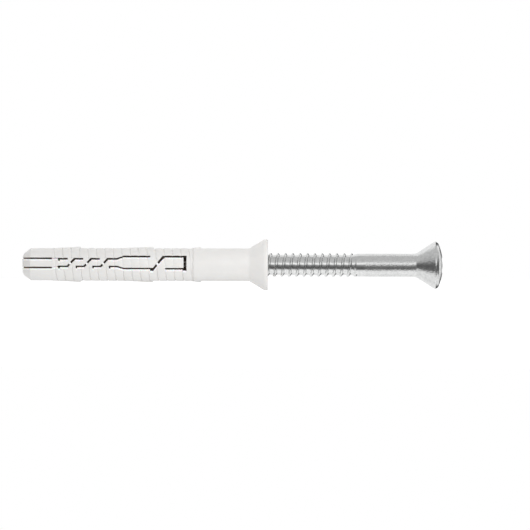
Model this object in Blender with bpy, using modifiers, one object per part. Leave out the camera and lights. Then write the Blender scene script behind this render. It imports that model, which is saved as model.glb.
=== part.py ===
"""Countersunk frame fixing: a slotted nylon sleeve with its star-drive screw part-way in.

The axis is +X, from the sleeve's tip towards the screw's head. X = 0 is the flat end of the
sleeve's collar. The sleeve is one moulding. It is divided here at its living hinges, so that
each stiff stretch is a solid of its own, hinged where the real plastic bends.

The slots on the back are the front ones turned half a turn about X, so each back piece is
the front piece turned the same way.
"""
import math

import bmesh
import bpy
from mathutils import Matrix, Vector

MM = 0.001

# Sleeve: a round 8 mm barrel with a countersunk collar
SLEEVE_LENGTH = 60.0 * MM
SLEEVE_RADIUS = 4.0 * MM
TIP_FACE_RADIUS = 2.4 * MM
TIP_EDGE_RADIUS = 2.75 * MM
TIP_EDGE_LENGTH = 0.3 * MM
TIP_CHAMFER_LENGTH = 2.0 * MM
COLLAR_RADIUS = 6.25 * MM
COLLAR_CONE_START = -4.4 * MM
COLLAR_RIM_START = -0.95 * MM
COLLAR_EDGE = 0.25 * MM
COLLAR_RIM_DRAFT = 0.03 * MM
GROOVE_X = -18.3 * MM
GROOVE_DEPTH = 0.15 * MM
BORE_RADIUS = 3.0 * MM
MOUTH_RADIUS = 5.6 * MM

# Living hinge where the two legs leave the shank
HINGE_X = -19.65 * MM
HINGE_GAP = 0.3 * MM
HINGE_Z = 3.2 * MM
LEG_ANGLE = 0.032
STRIP_ANGLE = 0.09

# Slots: a band down the front stays between the two legs
SLOT = 0.4 * MM
LINK_TOP = 1.4 * MM
LINK_BOTTOM = -0.5 * MM
STRIP_TOP = 1.5 * MM
STRIP_BOTTOM = -0.8 * MM
WIDE_TOP = 2.0 * MM
WIDE_BOTTOM = -1.0 * MM
STRIP_STATION = -52.5 * MM
LINK_STATION = -51.0 * MM
PADDLE_STATION = -36.8 * MM
WIDE_STATION = -35.2 * MM
FRONT_BACK_GAP = 0.7 * MM
HALVES_LAP = 0.05 * MM

# Slanted slots across the band, by where each meets the link band's lower edge
FIRST_SLANT_X = -48.9 * MM
LINK_PITCH = 4.05 * MM
LINK_COUNT = 2
SLANT_RUN = 0.9
SLANT_HALF = 0.33 * MM
LAST_SLANT_X = -27.9 * MM
LAST_SLANT_RUN = 0.81
HEEL_INSET = 0.1 * MM

# Lock tongue, free on three sides
TONGUE_ROOT = -25.05 * MM
TONGUE_END = -20.6 * MM

# Hinge lines of the small pieces
WALL_Y = 3.5 * MM
STRIP_HINGE_X = -48.0 * MM
LINK_HINGE_BACK = 0.9 * MM
PADDLE_HINGE_X = -27.1 * MM

# Anti-rotation fins on each leg and on the shank: start and end along X
FIN_HEIGHT = 0.35 * MM
FIN_WIDTH = 0.5 * MM
FIN_FOOT = 0.4 * MM
FIN_DROP = 0.3 * MM
LEG_FINS = ((-52.7 * MM, -45.6 * MM), (-36.5 * MM, -27.9 * MM))
SHANK_FIN = (-19.3 * MM, -16.2 * MM)

# Screw
SCREW_TIP_X = -24.0 * MM
POINT_LENGTH = 5.0 * MM
CORE_RADIUS = 2.5 * MM
CREST_RADIUS = 2.9 * MM
PITCH = 1.8 * MM
THREAD_START_X = -23.0 * MM
THREAD_END_X = 22.0 * MM
THREAD_FADE = 1.6 * MM
THREAD_FADE_SHRINK = 0.16
RIDGE_FOOT_RADIUS = 2.25 * MM
RIDGE_FOOT_HALF = 0.42 * MM
RIDGE_CREST_HALF = 0.1 * MM
SHANK_RADIUS = 2.8 * MM
HEAD_CONE_X = 36.2 * MM
HEAD_RIM_X = 40.85 * MM
HEAD_RADIUS = 5.85 * MM
HEAD_RIM_HALF = 0.1 * MM
HEAD_RIM_DRAFT = 0.03 * MM
FACE_EDGE_X = 41.7 * MM
FACE_EDGE_RADIUS = 5.4 * MM
FACE_TOP_X = 42.88 * MM
FACE_ARC_STEPS = 4
SCREW_TRAVEL = 40.4 * MM

# Star recess in the head
RECESS_MEAN = 2.68 * MM
RECESS_LOBE = 0.47 * MM
RECESS_DEPTH = 2.3 * MM
RECESS_FLOOR = 3.6 * MM
RECESS_TAPER = 0.86
RECESS_POINT = 0.1
RECESS_ABOVE = 0.5 * MM
LOBES = 6
STEPS_PER_LOBE = 8

# Bore: round in the shank, then narrowing towards the tip by what the pieces will open
BORE_STEPS = 6
BORE_SPARE_REACH = 0.3 * MM
LEG_BORE_WIDE = 3.12 * MM
BAND_BORE_TALL = 6.0 * MM
TIP_BORE_WIDE = 0.9 * MM
TIP_BORE_TALL = 0.6 * MM

SIDES = 32
SCREW_SIDES = 16
OUTSIDE = 7.0 * MM


def clear_scene():
    """Start from an empty scene."""
    for thing in list(bpy.data.objects):
        bpy.data.objects.remove(thing, do_unlink=True)


def new_collection(name):
    """Make a collection under the scene's own."""
    collection = bpy.data.collections.new(name)
    bpy.context.scene.collection.children.link(collection)
    return collection


def principled(name, colour, roughness, metallic):
    """Make a plain Principled material."""
    material = bpy.data.materials.new(name)
    material.use_nodes = True
    shader = material.node_tree.nodes["Principled BSDF"]
    shader.inputs["Base Color"].default_value = (*colour, 1.0)
    shader.inputs["Roughness"].default_value = roughness
    shader.inputs["Metallic"].default_value = metallic
    return material


def add_object(name, mesh, collection, pivot=Vector()):
    """Link a mesh that was built in place, with its origin moved to its pivot."""
    mesh.transform(Matrix.Translation(-pivot))
    item = bpy.data.objects.new(name, mesh)
    item.location = pivot
    collection.objects.link(item)
    return item


def add_cutter(name, mesh):
    """Link a mesh that only shapes other objects."""
    item = add_object(name, mesh, cutters)
    item.hide_render = True
    item.display_type = "WIRE"
    return item


def finish_mesh(shape, name):
    """Point a bmesh's faces outwards and turn it into a mesh."""
    bmesh.ops.recalc_face_normals(shape, faces=shape.faces)
    mesh = bpy.data.meshes.new(name)
    shape.to_mesh(mesh)
    shape.free()
    return mesh


def add_boolean(item, operation, cutter):
    """Cut, join or keep the overlap with another object."""
    step = item.modifiers.new(cutter.name, "BOOLEAN")
    step.operation = operation
    step.solver = "EXACT"
    step.object = cutter


def profile_mesh(name, points):
    """Chain (x, r) points into a profile in the XZ plane, and close it where it is a ring."""
    shape = bmesh.new()
    verts = [shape.verts.new((x, 0.0, r)) for x, r in points]
    for start, end in zip(verts, verts[1:]):
        shape.edges.new((start, end))
    if points[0][1] > 0.0:
        shape.edges.new((verts[-1], verts[0]))
    mesh = bpy.data.meshes.new(name)
    shape.to_mesh(mesh)
    shape.free()
    return mesh


def turn_about_x(item, sides):
    """Turn a profile into a round solid about the X axis."""
    step = item.modifiers.new("turn", "SCREW")
    step.axis = "X"
    step.steps = sides
    step.render_steps = sides
    step.use_merge_vertices = True
    step.merge_threshold = 0.00001
    step.use_smooth_shade = True


def prism(outlines, name):
    """Extrude outlines along Y; each is its (x, z) corners with its two ends in Y."""
    shape = bmesh.new()
    for corners, y_low, y_high in outlines:
        verts = [shape.verts.new((x, y_low, z)) for x, z in corners]
        face = shape.faces.new(verts)
        grown = bmesh.ops.extrude_face_region(shape, geom=[face])
        moved = [v for v in grown["geom"] if isinstance(v, bmesh.types.BMVert)]
        bmesh.ops.translate(shape, verts=moved, vec=(0.0, y_high - y_low, 0.0))
    return finish_mesh(shape, name)


def half_turn(corners):
    """Turn an outline half a turn about X: the front's z becomes the back's -z."""
    return [(x, -z) for x, z in corners]


def slant_x(index, z):
    """Centre of a slanted slot at height z; index 0 is the one nearest the tip."""
    return FIRST_SLANT_X + index * LINK_PITCH + SLANT_RUN * (z - LINK_BOTTOM)


def last_slant_x(z):
    """Centre of the slanted slot that ends the paddle."""
    return LAST_SLANT_X + LAST_SLANT_RUN * (z - WIDE_BOTTOM)


def opened(along, angle):
    """How far a piece has swung when the screw's full thread reaches it.

    along is the distance from the living hinge, and angle the piece's swing at the end of
    the screw's travel. All the pieces open in step with the screw.
    """
    arrival = along + POINT_LENGTH - (HINGE_X - SCREW_TIP_X)
    return angle * arrival / SCREW_TRAVEL


def bore_stations():
    """Distances from the living hinge where the bore's width and height are set."""
    full_reach = HINGE_X - (SCREW_TIP_X - SCREW_TRAVEL + POINT_LENGTH) + BORE_SPARE_REACH
    return [full_reach * index / BORE_STEPS for index in range(1, BORE_STEPS + 1)]


def leg_bore_sections():
    """Half-width in Y and half-height in Z of the space between the legs, along X."""
    sections = [(HINGE_X + OUTSIDE, LEG_BORE_WIDE, BORE_RADIUS)]
    sections.append((HINGE_X, LEG_BORE_WIDE, BORE_RADIUS))
    for along in bore_stations():
        tall = BORE_RADIUS - along * opened(along, LEG_ANGLE)
        sections.append((HINGE_X - along, LEG_BORE_WIDE, tall))
    sections.append((-SLEEVE_LENGTH - TIP_EDGE_LENGTH, TIP_BORE_WIDE, TIP_BORE_TALL))
    return sections


def band_bore_sections():
    """The same for the pieces of the band, whose inner faces are nearly flat."""
    sections = [(HINGE_X + OUTSIDE, BORE_RADIUS, BAND_BORE_TALL)]
    for along in bore_stations():
        past_hinge = max(0.0, STRIP_HINGE_X - HINGE_X + along)
        wide = BORE_RADIUS - past_hinge * opened(along, STRIP_ANGLE)
        sections.append((HINGE_X - along, wide, BAND_BORE_TALL))
    sections.append((-SLEEVE_LENGTH - TIP_EDGE_LENGTH, TIP_BORE_WIDE, BAND_BORE_TALL))
    return sections


def bore_mesh(name, sections):
    """Loft a bore through oval sections of x, half-width and half-height."""
    shape = bmesh.new()
    rings = []
    for x, wide, tall in sections:
        place = Matrix.Translation((x, 0.0, 0.0)) @ Matrix.Rotation(math.pi / 2, 4, "Y")
        size = Matrix.Diagonal((tall, wide, 1.0, 1.0))
        ring = bmesh.ops.create_circle(shape, segments=SIDES, radius=1.0, matrix=place @ size)
        rings.append(ring["verts"])
    for start, end in zip(rings, rings[1:]):
        edges = [e for e in shape.edges if all(v in start for v in e.verts)]
        edges += [e for e in shape.edges if all(v in end for v in e.verts)]
        bmesh.ops.bridge_loops(shape, edges=edges)
    bmesh.ops.holes_fill(shape, edges=shape.edges, sides=0)
    return finish_mesh(shape, name)


def leg_blank():
    """The barrel's outside, from its chamfered tip to the living hinge."""
    tip = -SLEEVE_LENGTH
    points = [
        (HINGE_X - HINGE_GAP / 2, 0.0),
        (HINGE_X - HINGE_GAP / 2, SLEEVE_RADIUS),
        (tip + TIP_CHAMFER_LENGTH, SLEEVE_RADIUS),
        (tip + TIP_EDGE_LENGTH, TIP_EDGE_RADIUS),
        (tip, TIP_FACE_RADIUS),
        (tip, 0.0),
    ]
    item = add_cutter("leg_blank", profile_mesh("leg_blank", points))
    turn_about_x(item, SIDES)
    return item


def fin_mesh(spans, name):
    """Thin fins along the top: each rises towards the collar and drops off sharply."""
    outlines = []
    foot = SLEEVE_RADIUS - FIN_FOOT
    for start, end in spans:
        corners = [
            (start, foot),
            (start, SLEEVE_RADIUS),
            (end - FIN_DROP, SLEEVE_RADIUS + FIN_HEIGHT),
            (end, SLEEVE_RADIUS),
            (end, foot),
        ]
        outlines.append((corners, -FIN_WIDTH / 2, FIN_WIDTH / 2))
    return prism(outlines, name)


def collar_and_shank():
    """The unslotted part of the sleeve, with the screw head's countersink in its collar."""
    seat_depth = (MOUTH_RADIUS - BORE_RADIUS) * (HEAD_RIM_X - HEAD_CONE_X)
    seat_depth /= HEAD_RADIUS - SHANK_RADIUS
    start = HINGE_X + HINGE_GAP / 2
    points = [
        (0.0, MOUTH_RADIUS),
        (0.0, COLLAR_RADIUS - COLLAR_EDGE),
        (-COLLAR_EDGE, COLLAR_RADIUS),
        (COLLAR_RIM_START, COLLAR_RADIUS - COLLAR_RIM_DRAFT),
        (COLLAR_CONE_START, SLEEVE_RADIUS),
        (GROOVE_X + GROOVE_DEPTH, SLEEVE_RADIUS),
        (GROOVE_X, SLEEVE_RADIUS - GROOVE_DEPTH),
        (GROOVE_X - GROOVE_DEPTH, SLEEVE_RADIUS),
        (start, SLEEVE_RADIUS),
        (start, BORE_RADIUS),
        (-seat_depth, BORE_RADIUS),
    ]
    item = add_object("collar_and_shank", profile_mesh("collar_and_shank", points), parts)
    turn_about_x(item, SIDES)
    add_boolean(item, "UNION", shank_fins)
    item.data.materials.append(nylon)


def cut_from_barrel(name, outlines, pivot):
    """Keep what an extruded outline shares with the barrel, and open the bore through it."""
    item = add_object(name, prism(outlines, name), parts, pivot)
    add_boolean(item, "INTERSECT", barrel)
    add_boolean(item, "DIFFERENCE", band_bore)
    item.data.materials.append(nylon)


def upper_edge():
    """Front edge of the upper leg, from the hinge to the tip."""
    half = SLOT / 2
    return [
        (HINGE_X, WIDE_TOP + half),
        (WIDE_STATION, WIDE_TOP + half),
        (PADDLE_STATION, LINK_TOP + half),
        (LINK_STATION, LINK_TOP + half),
        (STRIP_STATION, STRIP_TOP + half),
        (-SLEEVE_LENGTH - OUTSIDE, STRIP_TOP + half),
    ]


def lower_edge():
    """Front edge of the lower leg, with the heel that carries the lock tongue."""
    half = SLOT / 2
    heel_top = WIDE_TOP - half
    heel_x = TONGUE_ROOT - HINGE_GAP / 2
    low = WIDE_BOTTOM - half
    return [
        (HINGE_X, low),
        (heel_x, low),
        (heel_x, heel_top),
        (last_slant_x(heel_top) + SLANT_HALF - HEEL_INSET, heel_top),
        (last_slant_x(low) + SLANT_HALF, low),
        (WIDE_STATION, low),
        (PADDLE_STATION, LINK_BOTTOM - half),
        (LINK_STATION, LINK_BOTTOM - half),
        (STRIP_STATION, STRIP_BOTTOM - half),
        (-SLEEVE_LENGTH - OUTSIDE, STRIP_BOTTOM - half),
    ]


def legs():
    """Two like legs, the halves of the slotted barrel."""
    far = -SLEEVE_LENGTH - OUTSIDE
    upper_front = upper_edge() + [(far, OUTSIDE), (HINGE_X, OUTSIDE)]
    lower_front = lower_edge() + [(far, -OUTSIDE), (HINGE_X, -OUTSIDE)]
    for name, front, back, side in (
        ("upper_leg", upper_front, half_turn(lower_front), 1.0),
        ("lower_leg", lower_front, half_turn(upper_front), -1.0),
    ):
        pivot = Vector((HINGE_X, 0.0, side * HINGE_Z))
        item = add_object(name, prism([(front, -OUTSIDE, HALVES_LAP)], name), parts, pivot)
        rear = add_cutter(name + "_rear", prism([(back, -HALVES_LAP, OUTSIDE)], name + "_rear"))
        add_boolean(item, "UNION", rear)
        add_boolean(item, "INTERSECT", barrel)
        add_boolean(item, "DIFFERENCE", leg_bore)
        add_boolean(item, "UNION", upper_fins if side > 0.0 else lower_fins)
        item.data.materials.append(nylon)


def band_piece(name, corners, hinge_x, hinge_z):
    """Make a piece of the band between the legs, and its twin turned half a turn."""
    clear = FRONT_BACK_GAP / 2
    front = [(corners, -OUTSIDE, -clear)]
    back = [(half_turn(corners), clear, OUTSIDE)]
    cut_from_barrel("front_" + name, front, Vector((hinge_x, -WALL_Y, hinge_z)))
    cut_from_barrel("back_" + name, back, Vector((hinge_x, WALL_Y, -hinge_z)))


def tip_strips():
    """The band's end at the tip: a strip that hangs on a leg by its inner end."""
    half = SLOT / 2
    top = LINK_TOP - half
    bottom = LINK_BOTTOM + half
    far = -SLEEVE_LENGTH - OUTSIDE
    corners = [
        (far, STRIP_BOTTOM + half),
        (STRIP_STATION, STRIP_BOTTOM + half),
        (LINK_STATION, bottom),
        (slant_x(0, bottom) - SLANT_HALF, bottom),
        (slant_x(0, top) - SLANT_HALF, top),
        (LINK_STATION, top),
        (STRIP_STATION, STRIP_TOP - half),
        (far, STRIP_TOP - half),
    ]
    band_piece("tip_strip", corners, STRIP_HINGE_X, 0.0)


def links():
    """Short slanted links that tie the two legs together across the band."""
    top = LINK_TOP - SLOT / 2
    bottom = LINK_BOTTOM + SLOT / 2
    for index in range(LINK_COUNT):
        corners = [
            (slant_x(index, bottom) + SLANT_HALF, bottom),
            (slant_x(index + 1, bottom) - SLANT_HALF, bottom),
            (slant_x(index + 1, top) - SLANT_HALF, top),
            (slant_x(index, top) + SLANT_HALF, top),
        ]
        hinge_x = slant_x(index + 1, LINK_TOP) - LINK_HINGE_BACK
        band_piece("link_" + str(index + 1), corners, hinge_x, LINK_TOP)


def paddles():
    """The long link, which widens to the full band."""
    half = SLOT / 2
    top = LINK_TOP - half
    bottom = LINK_BOTTOM + half
    low = WIDE_BOTTOM + half
    high = WIDE_TOP - half
    corners = [
        (slant_x(LINK_COUNT, bottom) + SLANT_HALF, bottom),
        (PADDLE_STATION, bottom),
        (WIDE_STATION, low),
        (last_slant_x(low) - SLANT_HALF, low),
        (last_slant_x(high) - SLANT_HALF, high),
        (WIDE_STATION, high),
        (PADDLE_STATION, top),
        (slant_x(LINK_COUNT, top) + SLANT_HALF, top),
    ]
    band_piece("paddle", corners, PADDLE_HINGE_X, WIDE_TOP)


def lock_tongues():
    """Springy tongues that bear on the hole and stop the sleeve from turning or backing out."""
    half = SLOT / 2
    start = TONGUE_ROOT + HINGE_GAP / 2
    corners = [
        (start, WIDE_BOTTOM + half),
        (TONGUE_END, WIDE_BOTTOM + half),
        (TONGUE_END, WIDE_TOP - half),
        (start, WIDE_TOP - half),
    ]
    band_piece("lock_tongue", corners, TONGUE_ROOT, (WIDE_TOP + WIDE_BOTTOM) / 2)


def face_arc():
    """Points of the head's raised face, from its edge to the axis."""
    rise = FACE_TOP_X - FACE_EDGE_X
    radius = (FACE_EDGE_RADIUS ** 2 + rise ** 2) / (2 * rise)
    points = []
    for index in range(FACE_ARC_STEPS, -1, -1):
        r = FACE_EDGE_RADIUS * index / FACE_ARC_STEPS
        points.append((FACE_TOP_X - radius + math.sqrt(radius ** 2 - r ** 2), r))
    return points


def core_radius(x):
    """Radius of the screw's core, which tapers to a point."""
    return min(CORE_RADIUS, CORE_RADIUS * max(0.0, x - SCREW_TIP_X) / POINT_LENGTH)


def thread_mesh():
    """Wind a ridge round the core, shrinking on the point and sinking in at the shank."""
    shape = bmesh.new()
    corners = [
        (THREAD_START_X - RIDGE_FOOT_HALF, RIDGE_FOOT_RADIUS),
        (THREAD_START_X - RIDGE_CREST_HALF, CREST_RADIUS),
        (THREAD_START_X + RIDGE_CREST_HALF, CREST_RADIUS),
        (THREAD_START_X + RIDGE_FOOT_HALF, RIDGE_FOOT_RADIUS),
    ]
    face = shape.faces.new([shape.verts.new((x, 0.0, r)) for x, r in corners])
    turns = (THREAD_END_X - THREAD_START_X) / PITCH
    steps = round(turns * SCREW_SIDES)
    bmesh.ops.spin(
        shape,
        geom=[face],
        cent=(0.0, 0.0, 0.0),
        axis=(-1.0, 0.0, 0.0),
        dvec=(PITCH / SCREW_SIDES, 0.0, 0.0),
        angle=2 * math.pi * steps / SCREW_SIDES,
        steps=steps,
        use_duplicate=False,
    )
    for vert in shape.verts:
        x = vert.co.x
        size = core_radius(x) / CORE_RADIUS
        if x > THREAD_END_X - THREAD_FADE:
            size = 1.0 - THREAD_FADE_SHRINK * (x - THREAD_END_X + THREAD_FADE) / THREAD_FADE
        vert.co.y *= size
        vert.co.z *= size
    return finish_mesh(shape, "thread")


def recess_mesh():
    """A six-lobed socket with slightly tapering walls and a drilled point below."""
    shape = bmesh.new()
    count = STEPS_PER_LOBE * LOBES
    verts = []
    for index in range(count):
        angle = 2 * math.pi * index / count
        radius = RECESS_MEAN + RECESS_LOBE * math.cos(LOBES * angle)
        y = radius * math.sin(angle)
        z = radius * math.cos(angle)
        verts.append(shape.verts.new((FACE_TOP_X + RECESS_ABOVE, y, z)))
    level = shape.faces.new(verts)
    for x, size in (
        (FACE_TOP_X - RECESS_DEPTH, RECESS_TAPER),
        (FACE_TOP_X - RECESS_FLOOR, RECESS_POINT),
    ):
        level = bmesh.ops.extrude_discrete_faces(shape, faces=[level])["faces"][0]
        for vert in level.verts:
            vert.co = Vector((x, vert.co.y * size, vert.co.z * size))
    bmesh.ops.holes_fill(shape, edges=shape.edges, sides=0)
    return finish_mesh(shape, "recess")


def screw():
    """The whole screw: point, threaded core, plain shank and raised countersunk head."""
    points = face_arc()[::-1]
    points += [
        (HEAD_RIM_X + HEAD_RIM_HALF, HEAD_RADIUS),
        (HEAD_RIM_X - HEAD_RIM_HALF, HEAD_RADIUS - HEAD_RIM_DRAFT),
        (HEAD_CONE_X, SHANK_RADIUS),
        (THREAD_END_X, SHANK_RADIUS),
        (THREAD_END_X - THREAD_FADE / 2, CORE_RADIUS),
        (SCREW_TIP_X + POINT_LENGTH, CORE_RADIUS),
        (SCREW_TIP_X, 0.0),
    ]
    item = add_object("screw", profile_mesh("screw", points), parts)
    turn_about_x(item, SCREW_SIDES)
    add_boolean(item, "UNION", add_cutter("thread", thread_mesh()))
    add_boolean(item, "DIFFERENCE", add_cutter("recess", recess_mesh()))
    item.data.materials.append(zinc)


clear_scene()
parts = new_collection("wall_anchor")
cutters = new_collection("cutters")
nylon = principled("nylon", (0.83, 0.82, 0.79), 0.42, 0.0)
zinc = principled("zinc", (0.72, 0.72, 0.72), 0.28, 1.0)
barrel = leg_blank()
leg_bore = add_cutter("leg_bore", bore_mesh("leg_bore", leg_bore_sections()))
band_bore = add_cutter("band_bore", bore_mesh("band_bore", band_bore_sections()))
upper_fins = add_cutter("upper_fins", fin_mesh(LEG_FINS, "upper_fins"))
lower_fins = add_cutter("lower_fins", fin_mesh(LEG_FINS, "lower_fins"))
lower_fins.data.transform(Matrix.Rotation(math.pi, 4, "X"))
shank_fins = add_cutter("shank_fins", fin_mesh([SHANK_FIN], "shank_fins"))
collar_and_shank()
legs()
tip_strips()
links()
paddles()
lock_tongues()
screw()
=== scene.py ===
import math

import bmesh
import bpy
from mathutils import Matrix, Vector


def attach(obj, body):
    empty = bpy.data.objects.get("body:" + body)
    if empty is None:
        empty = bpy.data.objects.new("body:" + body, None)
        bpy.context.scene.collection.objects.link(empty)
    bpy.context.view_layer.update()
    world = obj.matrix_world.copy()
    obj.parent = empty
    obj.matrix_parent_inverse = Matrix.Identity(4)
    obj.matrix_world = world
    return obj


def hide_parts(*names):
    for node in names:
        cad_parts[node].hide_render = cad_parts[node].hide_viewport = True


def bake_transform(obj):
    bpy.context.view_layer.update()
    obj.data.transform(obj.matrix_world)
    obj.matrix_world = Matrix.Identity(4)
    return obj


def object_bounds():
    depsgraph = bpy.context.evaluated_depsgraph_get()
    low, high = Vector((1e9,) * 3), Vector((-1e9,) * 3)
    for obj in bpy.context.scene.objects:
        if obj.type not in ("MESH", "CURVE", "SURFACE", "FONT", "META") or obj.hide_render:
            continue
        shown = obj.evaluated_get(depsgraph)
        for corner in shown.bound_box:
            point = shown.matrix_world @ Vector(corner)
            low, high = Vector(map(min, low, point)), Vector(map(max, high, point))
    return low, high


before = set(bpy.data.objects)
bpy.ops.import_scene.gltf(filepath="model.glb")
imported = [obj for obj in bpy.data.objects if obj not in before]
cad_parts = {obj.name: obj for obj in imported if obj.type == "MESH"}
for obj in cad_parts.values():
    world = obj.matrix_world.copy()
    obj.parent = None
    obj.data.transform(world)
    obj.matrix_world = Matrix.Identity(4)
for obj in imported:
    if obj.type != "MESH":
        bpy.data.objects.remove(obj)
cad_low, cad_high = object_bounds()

# The shank and collar: the closed end of the sleeve, which lines the fixture and carries the
# screw head's countersink. Off-white nylon, injection moulded in one shot with the legs.
mm = 0.001
shank_end = -19.85 * mm
barrel_radius = 4.0 * mm
bore_radius = 3.0 * mm
ring_groove = -18.3

rib_pitch = 2.06 * mm
first_rib_groove = -52.44 * mm
ribs_start = -52.7 * mm
rib_groove_half = 0.18 * mm
rib_groove_depth = 0.2 * mm
rib_crown = 0.035 * mm
faint_on_band = 0.35
plain_tip_step = 0.03 * mm
band_low = (-0.95 * mm, -0.55 * mm)
band_high = (1.35 * mm, 1.75 * mm)
fin_half = 0.26 * mm
fin_crest = 0.35 * mm
fin_root = 0.4 * mm
fin_toe = 0.03 * mm


def smooth(value, low, high):
    """Rise gently from 0 at low to 1 at high."""
    share = min(1.0, max(0.0, (value - low) / (high - low)))
    return share * share * (3.0 - 2.0 * share)


def rib_groove_x(turn_count, angle):
    """Where the spiral groove between the ribs crosses the given angle round the sleeve."""
    return first_rib_groove + (turn_count + 0.25 - angle / (2 * math.pi)) * rib_pitch


def rib_height(x, angle):
    """How far the ribbed surface stands above the plain barrel."""
    if x < ribs_start:
        return -plain_tip_step
    away = (x - rib_groove_x(0, angle) + rib_pitch / 2) % rib_pitch - rib_pitch / 2
    height = barrel_radius * math.sin(angle) * (1 if math.cos(angle) > 0 else -1)
    on_band = smooth(height, *band_low) - smooth(height, *band_high)
    depth = rib_groove_depth * (1 - (1 - faint_on_band) * on_band)
    if abs(away) < rib_groove_half:
        return -depth * (1 - abs(away) / rib_groove_half)
    return rib_crown * math.sin(math.pi * (abs(away) - rib_groove_half) / rib_pitch)


def moulded_fin(shape, start, end, side):
    """Raise a thin fin that climbs towards the collar and drops off sharply."""
    toe = barrel_radius - fin_toe
    foot = barrel_radius - fin_root
    outline = [
        (start, foot),
        (start, toe),
        (end - fin_crest, barrel_radius + fin_crest),
        (end, toe),
        (end, foot),
    ]
    face = shape.faces.new([shape.verts.new((x, -fin_half, side * z)) for x, z in outline])
    grown = bmesh.ops.extrude_face_region(shape, geom=[face])["geom"]
    sides = [v for v in grown if isinstance(v, bmesh.types.BMVert)]
    bmesh.ops.translate(shape, verts=sides, vec=(0.0, 2 * fin_half, 0.0))
    top = [
        e for e in shape.edges
        if all(v.co.z * side > toe - 0.01 * mm for v in e.verts)
        and all(start - 1e-7 <= v.co.x <= end + 1e-7 for v in e.verts)
        and abs(abs(e.verts[0].co.y) - fin_half) < 1e-7
        and e.verts[0].co.y * e.verts[1].co.y > 0
    ]
    bmesh.ops.bevel(shape, geom=top, offset=0.1 * mm, offset_type="OFFSET", segments=2,
                    profile=0.5, affect="EDGES", material=-1)


def finished(shape, name, material, crease):
    """Turn a bmesh into an object with outward faces and crisp creases."""
    bmesh.ops.recalc_face_normals(shape, faces=shape.faces)
    mesh = bpy.data.meshes.new(name)
    shape.to_mesh(mesh)
    shape.free()
    mesh.shade_smooth()
    mesh.set_sharp_from_angle(angle=math.radians(crease))
    mesh.materials.append(material)
    piece = bpy.data.objects.new(name, mesh)
    bpy.context.scene.collection.objects.link(piece)
    return piece


def new_material(name):
    """Start a node material, with its shader, its Object coordinates and a node maker."""
    material = bpy.data.materials.new(name)
    material.use_nodes = True
    tree = material.node_tree
    shader = tree.nodes["Principled BSDF"]
    place = tree.nodes.new("ShaderNodeTexCoord").outputs["Object"]
    return material, tree, shader, place


def noise(tree, place, scale, detail, rough):
    """Add a noise pattern of the given number of features to the metre."""
    node = tree.nodes.new("ShaderNodeTexNoise")
    node.inputs["Scale"].default_value = scale
    node.inputs["Detail"].default_value = detail
    node.inputs["Roughness"].default_value = rough
    tree.links.new(place, node.inputs["Vector"])
    return node.outputs["Fac"]


def spread(tree, value, low, high, start=0.3, end=0.7):
    """Stretch a pattern's middle over a range of values."""
    node = tree.nodes.new("ShaderNodeMapRange")
    node.inputs["From Min"].default_value = start
    node.inputs["From Max"].default_value = end
    node.inputs["To Min"].default_value = low
    node.inputs["To Max"].default_value = high
    tree.links.new(value, node.inputs["Value"])
    return node.outputs["Result"]


def two_tone(tree, value, one, other):
    """Shade between two colours by a pattern."""
    node = tree.nodes.new("ShaderNodeMix")
    node.data_type = "RGBA"
    node.inputs["A"].default_value = (*one, 1.0)
    node.inputs["B"].default_value = (*other, 1.0)
    tree.links.new(value, node.inputs["Factor"])
    return node.outputs["Result"]


def bumped(tree, shader, height, strength, distance, under=None):
    """Feed a height pattern to the shader's normal."""
    node = tree.nodes.new("ShaderNodeBump")
    node.inputs["Strength"].default_value = strength
    node.inputs["Distance"].default_value = distance
    tree.links.new(height, node.inputs["Height"])
    if under is not None:
        tree.links.new(under, node.inputs["Normal"])
    tree.links.new(node.outputs["Normal"], shader.inputs["Normal"])
    return node.outputs["Normal"]


nylon, tree, shader, place = new_material("moulded_nylon")
shader.inputs["IOR"].default_value = 1.53
shader.inputs["Subsurface Weight"].default_value = 0.12
shader.inputs["Subsurface Scale"].default_value = 0.5 * mm
shader.inputs["Subsurface Radius"].default_value = (1.0, 0.85, 0.7)
cloudy = noise(tree, place, 260.0, 3.0, 0.55)
tree.links.new(
    two_tone(tree, spread(tree, cloudy, 0.0, 1.0), (0.80, 0.79, 0.775), (0.765, 0.755, 0.738)),
    shader.inputs["Base Color"],
)
satin = noise(tree, place, 1400.0, 2.0, 0.5)
tree.links.new(spread(tree, satin, 0.36, 0.5), shader.inputs["Roughness"])
bumped(tree, shader, noise(tree, place, 5200.0, 3.0, 0.6), 0.12, 0.02 * mm)

# Painted shade: a dark brown nylon for the inner walls of the slotted wall pieces. It stands in
# for the shade inside the bore, seen through the slots; the real inner walls are the same
# off-white nylon.
painted_shade_nylon, tree, shader, place = new_material("nylon_with_painted_shade_inside")
shader.inputs["IOR"].default_value = 1.53
shader.inputs["Roughness"].default_value = 0.55
tree.links.new(
    two_tone(tree, noise(tree, place, 400.0, 2.0, 0.5), (0.36, 0.28, 0.23), (0.28, 0.21, 0.17)),
    shader.inputs["Base Color"],
)

# Painted highlight: a near-white nylon for the up-facing ledges under the slots. It stands in for
# the light from above that catches them.
painted_highlight_nylon, tree, shader, place = new_material("nylon_with_painted_highlight_on_ledges")
shader.inputs["IOR"].default_value = 1.53
shader.inputs["Roughness"].default_value = 0.4
shader.inputs["Subsurface Weight"].default_value = 0.2
shader.inputs["Subsurface Scale"].default_value = 0.5 * mm
tree.links.new(
    two_tone(tree, noise(tree, place, 400.0, 2.0, 0.5), (0.97, 0.965, 0.96), (0.94, 0.935, 0.93)),
    shader.inputs["Base Color"],
)

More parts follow.
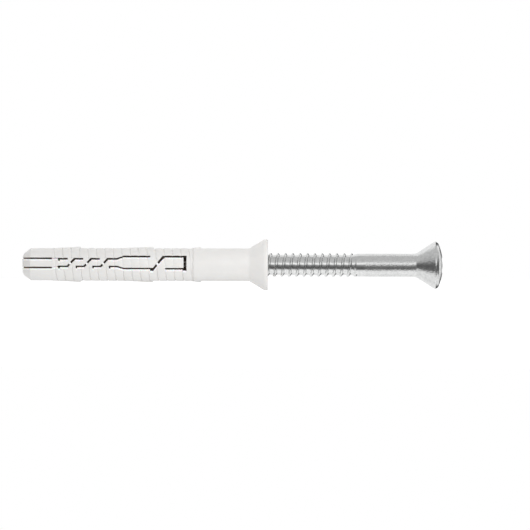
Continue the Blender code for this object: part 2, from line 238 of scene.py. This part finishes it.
outline = [
    (-19.85, 4.0),
    (ring_groove - 0.12, 4.0),
    (ring_groove - 0.05, 3.8),
    (ring_groove + 0.05, 3.8),
    (ring_groove + 0.12, 4.0),
    (ring_groove + 0.3, 4.03),
    (-17.0, 4.02),
    (-16.4, 4.0),
    (-5.0, 4.0),
    (-4.55, 4.05),
    (-4.25, 4.2),
    (-1.0, 6.17),
    (-0.9, 6.22),
    (-0.3, 6.25),
    (-0.1, 6.2),
    (0.0, 6.05),
    (0.0, 5.72),
    (-0.06, 5.62),
    (-3.85, 3.1),
    (-4.1, 3.0),
    (-19.85, 3.0),
]
shape = bmesh.new()
corners = [shape.verts.new((x * mm, 0.0, r * mm)) for x, r in outline]
edges = [shape.edges.new(pair) for pair in zip(corners, corners[1:] + corners[:1])]
bmesh.ops.spin(shape, geom=corners + edges, cent=(0, 0, 0), axis=(1, 0, 0),
               angle=2 * math.pi, steps=96, use_merge=True)
bmesh.ops.remove_doubles(shape, verts=shape.verts, dist=0.002 * mm)
for row in range(1, 20):
    bmesh.ops.bisect_plane(shape, geom=shape.verts[:] + shape.edges[:] + shape.faces[:],
                           dist=1e-7, plane_co=(shank_end + row * 0.06 * mm, 0, 0),
                           plane_no=(1, 0, 0))
for vert in shape.verts:
    away_from_axis = math.hypot(vert.co.y, vert.co.z)
    if vert.co.x < (ring_groove - 0.15) * mm and away_from_axis > 3.9 * mm:
        angle = math.atan2(vert.co.z, -vert.co.y)
        grown = 1 + rib_height(vert.co.x, angle) / barrel_radius
        vert.co.y *= grown
        vert.co.z *= grown
for side in (1, -1):
    moulded_fin(shape, -19.3 * mm, -16.2 * mm, side)
shank = finished(shape, "sleeve_shank_and_collar", nylon, 32)
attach(shank, "collar_and_shank")
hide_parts("collar_and_shank")

# The two legs: the slotted half of the barrel, which the screw drives apart in the hole. Each
# is a half shell with a heel at the back for the lock tongue. Same moulding as the shank, so
# each bends out of the shank's end over a living hinge.
edge_width = 0.1 * mm
edge_drop = 0.05 * mm
ledge_drop = 0.2 * mm
ledge_extra = 0.34 * mm
over_the_top = 6 * mm
tip_x = -60.0
strip_web = (-48.85, -47.36)
link_webs = [(-45.1, -43.31), (-41.05, -39.26)]
paddle_web = (-28.7, -25.63)
low_webs = [(-48.73, -46.9), (-44.68, -42.85), (-40.63, -38.8)]
top_webs = [strip_web, *link_webs, paddle_web]
tongue_root = -25.05

leg_hinge = -19.65 * mm
leg_opening = 0.032
screw_stroke = 40.4 * mm
head_start = 2.35 * mm
chamfer_start = -58.0 * mm
bore_half_width = 3.12 * mm
front_edge_height = 1.65 * mm
back_edge_height = 0.95 * mm


def opened_by(x):
    """Share of the screw's stroke at which its full thread reaches x."""
    return max(0.0, leg_hinge - x + head_start) / screw_stroke


def leg_bore_height(x):
    """Half-height of the space between the legs: it narrows towards the tip."""
    reached = max(x, chamfer_start)
    along = max(0.0, leg_hinge - reached)
    tall = bore_radius - along * leg_opening * opened_by(reached)
    return tall - max(0.0, chamfer_start - x) * 0.03


def outside_radius(x):
    """Barrel radius with the chamfer that starts the sleeve in its hole."""
    if x < -59.85 * mm:
        return 2.45 * mm - (-59.85 * mm - x) * 2.4
    if x < -59.6 * mm:
        return 2.8 * mm - (-59.6 * mm - x) * 1.4
    if x < chamfer_start:
        return barrel_radius - (chamfer_start - x) * 0.75
    return barrel_radius


def level_angle(angle, radius):
    """Angle on another radius at the height it has on the barrel, or evenly spread higher up."""
    if angle > math.pi / 2:
        return math.pi - level_angle(math.pi - angle, radius)
    low = min(2.3 * mm, 0.93 * radius)
    start = math.asin(low / barrel_radius)
    if angle <= start:
        return math.asin(max(-1.0, barrel_radius * math.sin(angle) / radius))
    top = math.asin(low / radius)
    return top + (angle - start) / (math.pi / 2 - start) * (math.pi / 2 - top)


def leg_inside(x, angle):
    """Point on a leg's inner wall."""
    tall = leg_bore_height(x)
    turned = level_angle(angle, tall)
    y = -bore_half_width * math.cos(turned)
    z = tall * math.sin(turned)
    if x < -57.9 * mm:
        y *= 1 - 0.3 * smooth(-x, 57.9 * mm, 60 * mm)
        z = max(z, front_edge_height if y < 0 else back_edge_height)
    return y, z


def on_seam(x, height):
    """True where a wall piece runs on into its neighbour, so its edge isn't rounded."""
    x, height = x / mm, height / mm
    if x > shank_end / mm - 0.02:
        return True
    if abs(x - tongue_root) < 0.02 and -0.83 < height < 1.76:
        return True
    if height > 1.5:
        return any(low - 0.01 <= x <= high + 0.01 for low, high in top_webs)
    if height < -0.6:
        return any(low - 0.01 <= x <= high + 0.01 for low, high in low_webs)
    return False


def cut(shape, point, normal):
    """Score a line right across a flat sheet."""
    bmesh.ops.bisect_plane(shape, geom=shape.verts[:] + shape.edges[:] + shape.faces[:],
                           dist=1e-7, plane_co=point, plane_no=normal)


def wall_piece(outline, turn, inside, angles):
    """Mould a piece of the slotted wall.

    The outline is laid flat, as x and the angle round the sleeve from the front over the top,
    given an eased edge and scored along the ribs. It is then thickened and rolled up. turn is
    half a turn for the pieces of the back, which are the front ones turned round.
    """
    shape = bmesh.new()
    face = shape.faces.new([shape.verts.new((x, a * barrel_radius, 0)) for x, a in outline])
    face.normal_update()
    rim = bmesh.ops.inset_region(shape, faces=[face], thickness=edge_width, use_even_offset=True,
                                 use_boundary=True)["faces"]
    ledge = set()
    for part in rim:
        outer = next(e for e in part.edges if e.is_boundary)
        middle = (outer.verts[0].co + outer.verts[1].co) / 2
        along = (outer.verts[0].co - outer.verts[1].co).normalized()
        below = part.calc_center_median().y < middle.y
        height = barrel_radius * math.sin(middle.y / barrel_radius)
        # Rim faces on the lower side of a slot face up, and they take the painted-highlight nylon
        # (slot 2).
        if below and abs(along.x) > 0.6 and not on_seam(
                middle.x, height if middle.y < over_the_top else -height):
            part.material_index = 2
            ledge.update(v for v in part.verts if not v.is_boundary)
    bmesh.ops.translate(shape, verts=list(ledge), vec=(0.0, -ledge_extra, 0.0))
    rise = rib_pitch / (2 * math.pi * barrel_radius)
    rib_crown_cuts = (0.6 * mm, 1.03 * mm, 1.46 * mm)
    low_x = min(x for x, a in outline)
    high_x = max(x for x, a in outline)
    for index in range(-1, 18):
        for part in (-rib_groove_half, 0, rib_groove_half, *rib_crown_cuts):
            x = rib_groove_x(index, turn) + part
            if low_x - 2 * mm < x < high_x + 2 * mm and x > ribs_start - 1 * mm:
                cut(shape, (x, 0, 0), (1, rise, 0))
    for x in (ribs_start - 0.02 * mm, ribs_start + 0.02 * mm,
              chamfer_start, -59.6 * mm, -59.85 * mm):
        if low_x < x < high_x:
            cut(shape, (x, 0, 0), (1, 0, 0))
    for degrees in angles:
        cut(shape, (0, math.radians(degrees) * barrel_radius, 0), (0, 1, 0))
    eased = {}
    for vert in shape.verts:
        angle = vert.co.y / barrel_radius
        side = 1 if angle < math.pi / 2 else -1
        height = barrel_radius * math.sin(angle) * side
        if vert.is_boundary and not on_seam(vert.co.x, height):
            outward = vert.co - sum((f.calc_center_median() for f in vert.link_faces),
                                    Vector()) / len(vert.link_faces)
            up = max(0.0, outward.normalized().y)
            eased[vert] = edge_drop + (ledge_drop - edge_drop) * up
    grown = bmesh.ops.extrude_face_region(shape, geom=shape.faces[:])["geom"]
    inner = {v for v in grown if isinstance(v, bmesh.types.BMVert)}
    way = -1 if turn else 1
    for vert in shape.verts:
        x = vert.co.x
        angle = vert.co.y / barrel_radius
        if vert in inner:
            y, z = inside(x, angle)
        else:
            base = outside_radius(x)
            radius = base + rib_height(x, angle + turn) - eased.get(vert, 0.0)
            level = level_angle(angle, base)
            y, z = -radius * math.cos(level), radius * math.sin(level)
        vert.co = Vector((x, way * y, way * z))
    # Faces wholly on the inner wall take the painted-shade nylon (slot 1); the slot side walls
    # keep the plain nylon.
    for face in shape.faces:
        buried = sum(vert in inner for vert in face.verts)
        if buried == len(face.verts):
            face.material_index = 1
        elif buried:
            face.material_index = 0
    return shape


def rounds(low, high):
    """Angles in degrees at which a curved wall is divided, 5 degrees apart."""
    return range(5 * math.ceil(low / 5), high, 5)


def front_angle(x, z):
    """A corner at height z on the front, as x and its angle."""
    return x * mm, math.asin(z * mm / barrel_radius)


def back_angle(x, z):
    """The same corner on the back, turned half a turn."""
    return x * mm, math.pi + math.asin(z * mm / barrel_radius)


upper_edge = [(-19.85, 2.2)]
for low, high in reversed(top_webs):
    z = 2.2 if low > -30 else 1.6
    upper_edge += [(high + 0.12, z), (high, z), (low, z), (low - 0.12, z)]
    if low > -30:
        upper_edge += [(-35.2, 2.2), (-36.8, 1.6)]
upper_edge += [(-51.2, 1.6), (-51.5, 1.57), (-52.6, 1.57), (-52.8, 1.7), (tip_x, 1.7)]

lower_edge = [
    (-19.85, -1.5),
    (-20.75, -1.5),
    (-20.9, -1.25),
    (tongue_root, -1.25),
    (tongue_root, -0.82),
    (tongue_root, 1.75),
    (-25.29, 1.75),
    (-27.75, -1.25),
    (-28.0, -1.58),
    (-28.72, -1.58),
    (-28.72, -1.2),
    (-35.2, -1.2),
    (-36.8, -0.7),
]
for low, high in reversed(low_webs):
    lower_edge += [(high + 0.42, -0.7), (high + 0.36, -0.98), (high + 0.08, -0.98),
                   (high, -0.7), (low, -0.7), (low - 0.12, -0.7)]
lower_edge += [(-50.7, -0.7), (-50.76, -1.05), (-51.14, -1.05), (-51.2, -0.7), (-51.4, -0.58),
               (-52.6, -0.75), (-52.8, -1.0), (tip_x, -1.0)]

leg_outline = [front_angle(x, z) for x, z in upper_edge]
leg_outline += [back_angle(x, z) for x, z in reversed(lower_edge)]
for name, turn, side in (("upper", 0.0, 1), ("lower", math.pi, -1)):
    shape = wall_piece(leg_outline, turn, leg_inside, rounds(20, 205))
    moulded_fin(shape, -52.7 * mm, -45.6 * mm, side)
    moulded_fin(shape, -36.8 * mm, -27.9 * mm, side)
    leg = finished(shape, name + "_expanding_leg", nylon, 32)
    leg.data.materials.append(painted_shade_nylon)
    leg.data.materials.append(painted_highlight_nylon)
    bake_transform(leg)
    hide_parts(name + "_leg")

# The tip strips: the end of the band between the legs, front and back. Each stays on one leg
# by its inner end and is held to both by two thin films that tear when the legs open.
slant_run = 0.9
slant_half = 0.32
slant_pitch = 4.05
strip_hinge = -48.0 * mm
strip_opening = 0.09
band_crown_radius = 6 * mm


def slant(index, z):
    """Middle of a slanted slot at height z, counted from the tip."""
    return -48.9 + slant_pitch * index + slant_run * (z + 0.5)


def band_inside(x, angle):
    """Point on the nearly flat inner face of a piece of the band."""
    z = barrel_radius * math.sin(angle)
    reached = max(x, chamfer_start)
    bent = max(0.0, strip_hinge - reached) * strip_opening * opened_by(reached)
    wide = bore_radius - bent - max(0.0, chamfer_start - x) * 0.12
    return -wide * math.sqrt(1 - (z / band_crown_radius) ** 2), z


strip_outline = [
    (tip_x, -0.6),
    (-52.8, -0.6),
    (-52.6, -0.69),
    (-51.4, -0.52),
    (-51.2, -0.3),
    (slant(0, -0.3) - slant_half, -0.3),
    (slant(0, 1.6) - slant_half, 1.6),
    (strip_web[0], 1.6),
    (strip_web[0], 1.2),
    (-50.76, 1.2),
    (-50.8, 0.88),
    (-51.1, 0.88),
    (-51.2, 1.2),
    (-51.3, 1.51),
    (-52.6, 1.51),
    (-52.8, 1.3),
    (tip_x, 1.3),
]


def band_pieces(name, outline, body):
    """Make a piece of the band for the front and its twin for the back.
    """
    for side, turn in (("front", 0.0), ("back", math.pi)):
        corners = [front_angle(x, z) for x, z in outline]
        shape = wall_piece(corners, turn, band_inside, rounds(-25, 36))
        piece = finished(shape, side + "_" + name, nylon, 32)
        piece.data.materials.append(painted_shade_nylon)
        piece.data.materials.append(painted_highlight_nylon)
        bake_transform(piece)
        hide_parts(side + "_" + body)


band_pieces("strip_at_the_tip", strip_outline, "tip_strip")

# The links: short slanted bars that tie the legs together and lean over as they part. Each is
# moulded to the upper leg by its top end and to the lower leg by its bottom end.
for index in (1, 2):
    low_web, top_web = low_webs[index - 1], top_webs[index]
    link_outline = [
        (slant(index - 1, -0.7) + slant_half, -0.7),
        (low_web[1], -0.7),
        (low_web[1], -0.3),
        (slant(index, -0.3) - slant_half, -0.3),
        (slant(index, 1.6) - slant_half, 1.6),
        (top_web[0], 1.6),
        (top_web[0], 1.2),
        (slant(index - 1, 1.2) + slant_half, 1.2),
    ]
    band_pieces("slanted_link_" + str(index), link_outline, "link_" + str(index))

# The paddles: the long links, which widen to the full band and stiffen it. Nylon, moulded to
# the upper leg by the collar end and to the lower leg by the tip end.
last_slant_run = 0.803
paddle_outline = [
    (slant(2, -0.7) + slant_half, -0.7),
    (low_webs[2][1], -0.7),
    (low_webs[2][1], -0.3),
    (-36.8, -0.3),
    (-35.2, -0.8),
    (-25.79 + last_slant_run * (-0.8 - 2.0), -0.8),
    (-25.79 + last_slant_run * (2.2 - 2.0), 2.2),
    (paddle_web[0], 2.2),
    (paddle_web[0], 1.8),
    (-35.2, 1.8),
    (-36.8, 1.2),
    (slant(2, 1.2) + slant_half, 1.2),
]
band_pieces("long_paddle", paddle_outline, "paddle")

# The lock tongues: springy flaps, free on three sides, that press on the hole and stop the
# sleeve from turning with the screw. Nylon, moulded to the heel of a leg.
tongue_outline = [
    (tongue_root, -0.82),
    (-20.6, -0.82),
    (-20.6, 1.75),
    (tongue_root, 1.75),
]
band_pieces("springy_lock_tongue", tongue_outline, "lock_tongue")

# The screw: cold-headed steel with a rolled right-hand thread, a raised countersunk head and a
# pressed six-lobe recess, bright zinc plated. It stands in the sleeve as it is delivered.
screw_tip = -24.0 * mm
point_length = 5.0 * mm
thread_pitch = 1.8 * mm
thread_start = -24.5 * mm
shank_start = 22.4 * mm
thread_steps = 72
shank_radius = 2.8 * mm

ridge = [
    (-0.9, 2.47),
    (-0.52, 2.47),
    (-0.38, 2.51),
    (-0.2, 2.8),
    (-0.11, 2.9),
    (0.0, 2.92),
    (0.11, 2.9),
    (0.2, 2.8),
    (0.38, 2.51),
    (0.52, 2.47),
    (0.9, 2.47),
]
shape = bmesh.new()
corners = [shape.verts.new((thread_start + x * mm, 0, r * mm)) for x, r in ridge]
edges = [shape.edges.new(pair) for pair in zip(corners, corners[1:])]
turns = 27
bmesh.ops.spin(shape, geom=corners + edges, cent=(0, 0, 0), axis=(-1, 0, 0),
               dvec=(thread_pitch / thread_steps, 0, 0), angle=2 * math.pi * turns,
               steps=turns * thread_steps, use_merge=False)
bmesh.ops.remove_doubles(shape, verts=shape.verts, dist=0.002 * mm)
for x, way in ((screw_tip + 0.3 * mm, -1), (shank_start, 1)):
    bmesh.ops.bisect_plane(shape, geom=shape.verts[:] + shape.edges[:] + shape.faces[:],
                           dist=1e-8, plane_co=(x, 0, 0), plane_no=(way, 0, 0),
                           clear_outer=True)
for vert in shape.verts:
    x = vert.co.x
    radius = math.hypot(vert.co.y, vert.co.z)
    point = min(1.0, (x - screw_tip) / point_length)
    plain = smooth(x, 20.4 * mm, 22.2 * mm)
    size = (radius * point * (1 - plain) + shank_radius * plain) / radius
    vert.co.y *= size
    vert.co.z *= size
bmesh.ops.remove_doubles(shape, verts=shape.verts, dist=0.004 * mm)


def open_loop(shape, low, high):
    """Edges of the open rim between two stations along the screw."""
    return [e for e in shape.edges if e.is_boundary
            and all(low <= v.co.x <= high for v in e.verts)]


def draw_on(shape, edges, shape_ring):
    """Draw the open rim on to its next ring, which shape_ring places by angle."""
    grown = bmesh.ops.extrude_edge_only(shape, edges=edges)["geom"]
    for vert in grown:
        if isinstance(vert, bmesh.types.BMVert):
            angle = math.atan2(vert.co.y, vert.co.z)
            x, radius = shape_ring(angle)
            vert.co = Vector((x, radius * math.sin(angle), radius * math.cos(angle)))
    return [e for e in grown if isinstance(e, bmesh.types.BMEdge)]


bmesh.ops.holes_fill(shape, edges=open_loop(shape, screw_tip, screw_tip + 0.5 * mm), sides=0)
edges = open_loop(shape, shank_start - 0.1 * mm, shank_start + 0.1 * mm)
for x, r in (
    (24.0, 2.8),
    (30.0, 2.8),
    (35.6, 2.8),
    (36.0, 2.83),
    (36.35, 2.94),
    (36.65, 3.1),
    (38.5, 4.32),
    (40.6, 5.68),
    (40.78, 5.79),
    (40.9, 5.84),
    (41.05, 5.84),
    (41.17, 5.8),
    (41.62, 5.47),
    (41.72, 5.37),
    (41.8, 5.25),
):
    edges = draw_on(shape, edges, lambda angle: (x * mm, r * mm))

face_top = 42.88 * mm
face_curve = 13.3 * mm
recess_mean = 2.66 * mm
recess_lobe = 0.47 * mm


def face_x(radius):
    """The raised face of the head, a shallow dome."""
    return face_top - face_curve + math.sqrt(face_curve ** 2 - radius ** 2)


def star(angle):
    """Outline of the six-lobe recess, with a lobe at the top."""
    return recess_mean + recess_lobe * math.cos(6 * angle)


for share in (0.0, 0.35, 0.7, 0.93):
    def dome_ring(angle):
        radius = (1 - share) * 5.1 * mm + share * (star(angle) + 0.12 * mm)
        return face_x(radius), radius
    edges = draw_on(shape, edges, dome_ring)
for drop, size in ((0.02, 1.02), (0.07, 0.995), (0.16, 0.985), (1.2, 0.93), (2.25, 0.87)):
    edges = draw_on(shape, edges,
                    lambda angle: (face_x(star(angle)) - drop * mm, star(angle) * size))
for drop, size in ((2.5, 0.78), (2.8, 0.55), (3.15, 0.3), (3.4, 0.1)):
    edges = draw_on(shape, edges, lambda angle: (
        face_top - drop * mm,
        (star(angle) * (1 - size) + recess_mean * size) * size))
bmesh.ops.holes_fill(shape, edges=edges, sides=0)

zinc, tree, shader, place = new_material("zinc_plate")
shader.inputs["Metallic"].default_value = 1.0
spangle = noise(tree, place, 1500.0, 2.0, 0.5)
tree.links.new(
    two_tone(tree, spread(tree, spangle, 0.0, 1.0), (0.80, 0.805, 0.80), (0.68, 0.685, 0.685)),
    shader.inputs["Base Color"],
)
patchy = noise(tree, place, 700.0, 3.0, 0.6)
split = tree.nodes.new("ShaderNodeSeparateXYZ")
tree.links.new(place, split.inputs["Vector"])
along_screw = split.outputs["X"]


def combined(operation, one, other):
    """Add or multiply two patterns."""
    node = tree.nodes.new("ShaderNodeMath")
    node.operation = operation
    tree.links.new(one, node.inputs[0])
    tree.links.new(other, node.inputs[1])
    return node.outputs["Value"]


on_shank = spread(tree, along_screw, 0.06, 1.0, 23.3 * mm, 24.0 * mm)
dull_shank = spread(tree, along_screw, 0.0, 0.11, 23.3 * mm, 24.0 * mm)
bright_head = spread(tree, along_screw, 0.0, -0.07, 35.5 * mm, 36.5 * mm)
on_face = spread(tree, along_screw, 0.0, 1.0, 41.2 * mm, 41.7 * mm)
rough = combined("ADD", dull_shank, bright_head)
tree.links.new(combined("ADD", spread(tree, patchy, 0.1, 0.19), rough),
               shader.inputs["Roughness"])
grain = combined("MULTIPLY", noise(tree, place, 2400.0, 2.0, 0.5), on_shank)
peened = bumped(tree, shader, grain, 0.7, 0.06 * mm)
turning = tree.nodes.new("ShaderNodeTexWave")
turning.wave_type = "RINGS"
turning.rings_direction = "X"
turning.inputs["Scale"].default_value = 2600.0
turning.inputs["Distortion"].default_value = 1.5
turning.inputs["Detail"].default_value = 2.0
tree.links.new(place, turning.inputs["Vector"])
lathe_lines = combined("MULTIPLY", turning.outputs["Fac"], on_face)
bumped(tree, shader, lathe_lines, 0.25, 0.012 * mm, under=peened)

screw = finished(shape, "countersunk_screw", zinc, 30)
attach(screw, "screw")
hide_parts("screw")

# The stage: a pale floor under the collar, a white tent for soft light and a camera square to
# the front. The screw mirrors the tent's bands: grey above, dark in front and white below.
floor_shape = bmesh.new()
bmesh.ops.create_grid(floor_shape, x_segments=1, y_segments=1, size=0.6)
floor_mesh = bpy.data.meshes.new("pale_floor")
floor_shape.to_mesh(floor_mesh)
floor_shape.free()
floor_mesh.transform(Matrix.Translation((0, 0, cad_low.z - 0.05 * mm)))
pale, tree, shader, place = new_material("pale_floor")
shader.inputs["Roughness"].default_value = 0.8
shader.inputs["Emission Color"].default_value = (1, 1, 1, 1)
shader.inputs["Emission Strength"].default_value = 0.82
tree.links.new(
    two_tone(tree, noise(tree, place, 40.0, 2.0, 0.5), (0.42, 0.42, 0.42), (0.40, 0.40, 0.40)),
    shader.inputs["Base Color"],
)
floor_mesh.materials.append(pale)
floor = bpy.data.objects.new("pale_floor", floor_mesh)
floor.visible_glossy = False
floor.visible_diffuse = False
bpy.context.scene.collection.objects.link(floor)

world = bpy.data.worlds.new("light_tent")
bpy.context.scene.world = world
world.use_nodes = True
sky = world.node_tree
sky.nodes.clear()
output = sky.nodes.new("ShaderNodeOutputWorld")
ray = sky.nodes.new("ShaderNodeLightPath")


def tent(source, strength):
    """A background of one colour or pattern."""
    node = sky.nodes.new("ShaderNodeBackground")
    node.inputs["Strength"].default_value = strength
    if source is not None:
        sky.links.new(source, node.inputs["Color"])
    else:
        node.inputs["Color"].default_value = (1, 1, 1, 1)
    return node.outputs["Background"]


def choose(chance, one, other):
    """Show other where chance is 1, and one elsewhere."""
    node = sky.nodes.new("ShaderNodeMixShader")
    sky.links.new(chance, node.inputs["Fac"])
    sky.links.new(one, node.inputs[1])
    sky.links.new(other, node.inputs[2])
    return node.outputs["Shader"]


direction = sky.nodes.new("ShaderNodeTexCoord")
parts = sky.nodes.new("ShaderNodeSeparateXYZ")
sky.links.new(direction.outputs["Generated"], parts.inputs["Vector"])
lift = sky.nodes.new("ShaderNodeMapRange")
lift.inputs["From Min"].default_value = -1.0
sky.links.new(parts.outputs["Z"], lift.inputs["Value"])


def tent_bands(stops):
    """Grey bands of the tent from straight down to straight up."""
    node = sky.nodes.new("ShaderNodeValToRGB")
    ramp = node.color_ramp
    ramp.elements.remove(ramp.elements[1])
    ramp.elements[0].position = 0.0
    for index, (height, grey) in enumerate(stops):
        stop = ramp.elements[0] if index == 0 else ramp.elements.new((height + 1) / 2)
        stop.color = (grey, grey, grey, 1)
    sky.links.new(lift.outputs["Result"], node.inputs["Fac"])
    return node.outputs["Color"]


def fade(part, start, end):
    """Rise from 0 to 1 as a part of the direction goes from start to end."""
    node = sky.nodes.new("ShaderNodeMapRange")
    node.interpolation_type = "SMOOTHSTEP"
    node.inputs["From Min"].default_value = start
    node.inputs["From Max"].default_value = end
    sky.links.new(part, node.inputs["Value"])
    return node.outputs["Result"]


sideways = sky.nodes.new("ShaderNodeMath")
sideways.operation = "ABSOLUTE"
sky.links.new(parts.outputs["X"], sideways.inputs[0])
white = tent(None, 1.0)
front_bands = tent_bands((
    (-1.0, 0.95), (-0.87, 0.93), (-0.79, 0.6), (-0.7, 0.16), (-0.53, 0.1), (-0.37, 0.14),
    (-0.2, 0.2), (-0.02, 0.3), (0.14, 0.95), (0.36, 1.0), (0.46, 0.6), (0.7, 0.52), (1.0, 0.52),
))
side_bands = tent_bands((
    (-1.0, 1.0), (-0.6, 0.85), (-0.47, 0.65), (-0.39, 0.14), (-0.1, 0.1), (0.08, 0.12),
    (0.24, 0.27), (0.36, 0.42), (0.6, 0.52), (1.0, 0.56),
))
mirrored = choose(fade(sideways.outputs["Value"], 0.35, 0.75), tent(front_bands, 1.15),
                  tent(side_bands, 1.15))
shut = choose(fade(parts.outputs["X"], 0.42, 0.52), tent(None, 0.06), tent(None, 1.0))
behind = choose(fade(parts.outputs["X"], 0.1, 0.18), tent(None, 1.0), shut)
mirrored = choose(fade(parts.outputs["Y"], 0.2, 0.5), mirrored, behind)
soft = choose(fade(parts.outputs["Z"], -0.5, 0.5), tent(None, 1.08), tent(None, 0.64))
shown = choose(ray.outputs["Is Glossy Ray"], soft, mirrored)
sky.links.new(choose(ray.outputs["Is Camera Ray"], shown, white), output.inputs["Surface"])

for name, spot, size, power in (
    ("key", (0.06, -0.16, 0.06), 0.12, 0.14),
    ("top", (-0.02, -0.05, 0.3), 0.3, 0.1),
    ("fill", (-0.12, 0.28, 0.2), 0.3, 0.25),
):
    lamp = bpy.data.lights.new(name, "AREA")
    lamp.size = size
    lamp.energy = power
    lamp_object = bpy.data.objects.new(name, lamp)
    lamp_object.location = spot
    lamp_object.rotation_euler = (-Vector(spot)).to_track_quat("-Z", "Y").to_euler()
    lamp_object.visible_glossy = False
    lamp_object.visible_camera = False
    bpy.context.scene.collection.objects.link(lamp_object)

camera_distance = 0.8
view_width = 129.9 * mm
camera_roll = math.radians(-0.15)
lens = bpy.data.cameras.new("camera")
lens.lens = camera_distance / view_width * lens.sensor_width
camera = bpy.data.objects.new("camera", lens)
camera.location = (-0.7 * mm, -camera_distance, -0.03 * mm)
camera.rotation_euler = (math.pi / 2, camera_roll, 0)
bpy.context.scene.collection.objects.link(camera)
bpy.context.scene.camera = camera
bpy.context.scene.view_settings.view_transform = "Standard"
